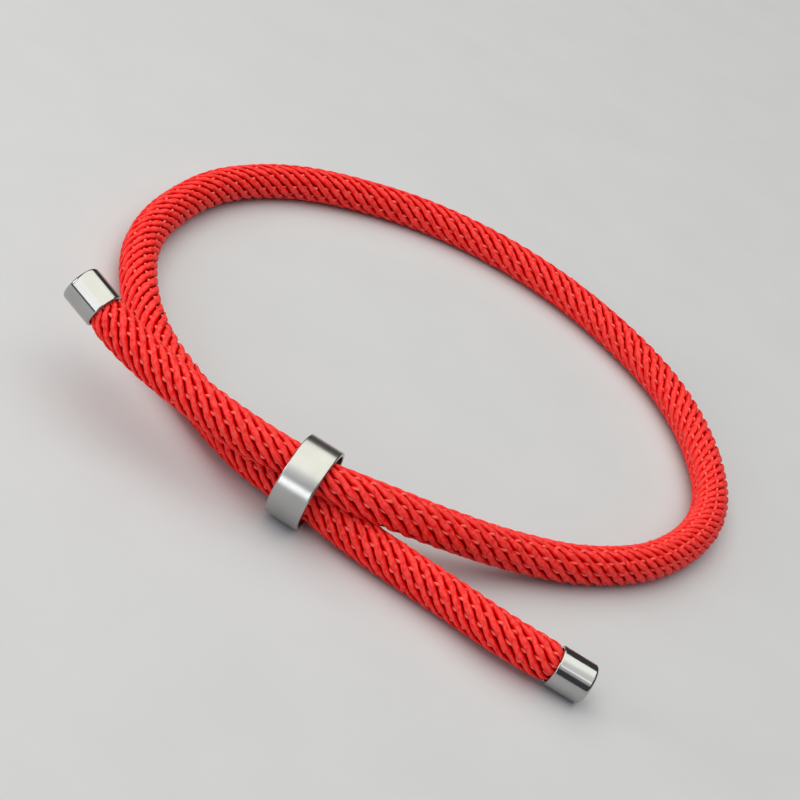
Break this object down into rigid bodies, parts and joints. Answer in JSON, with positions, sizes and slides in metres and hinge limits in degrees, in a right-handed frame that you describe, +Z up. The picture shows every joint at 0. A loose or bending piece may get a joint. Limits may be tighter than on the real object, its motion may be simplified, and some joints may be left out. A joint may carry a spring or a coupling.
{
  "type": "string bracelet",
  "caption": "Adjustable bracelet of round braided cord: both ends pass in opposite directions through a round steel slide ring and finish in steel caps.",
  "frame": {"origin": "on the surface that the bracelet lies on, under the middle of its bounding box", "axes": "+Z up through the loop, the way a wrist goes in; +Y from the slide ring across the loop to its far side; +X along the slide ring's axis, toward the free end that lies flat"},
  "size_m": [0.0699, 0.0726, 0.0109],
  "materials": {
    "cord": "round braid of thick smooth synthetic strands, soft sheen",
    "ring_steel": "satin round the outside, polished rims",
    "cap_steel": "polished steel"
  },
  "bodies": {
    "root": {"braided_cord": "cord", "slider_ring": "ring_steel", "end_cap_left": "cap_steel", "end_cap_right": "cap_steel"}
  },
  "joints": []
}
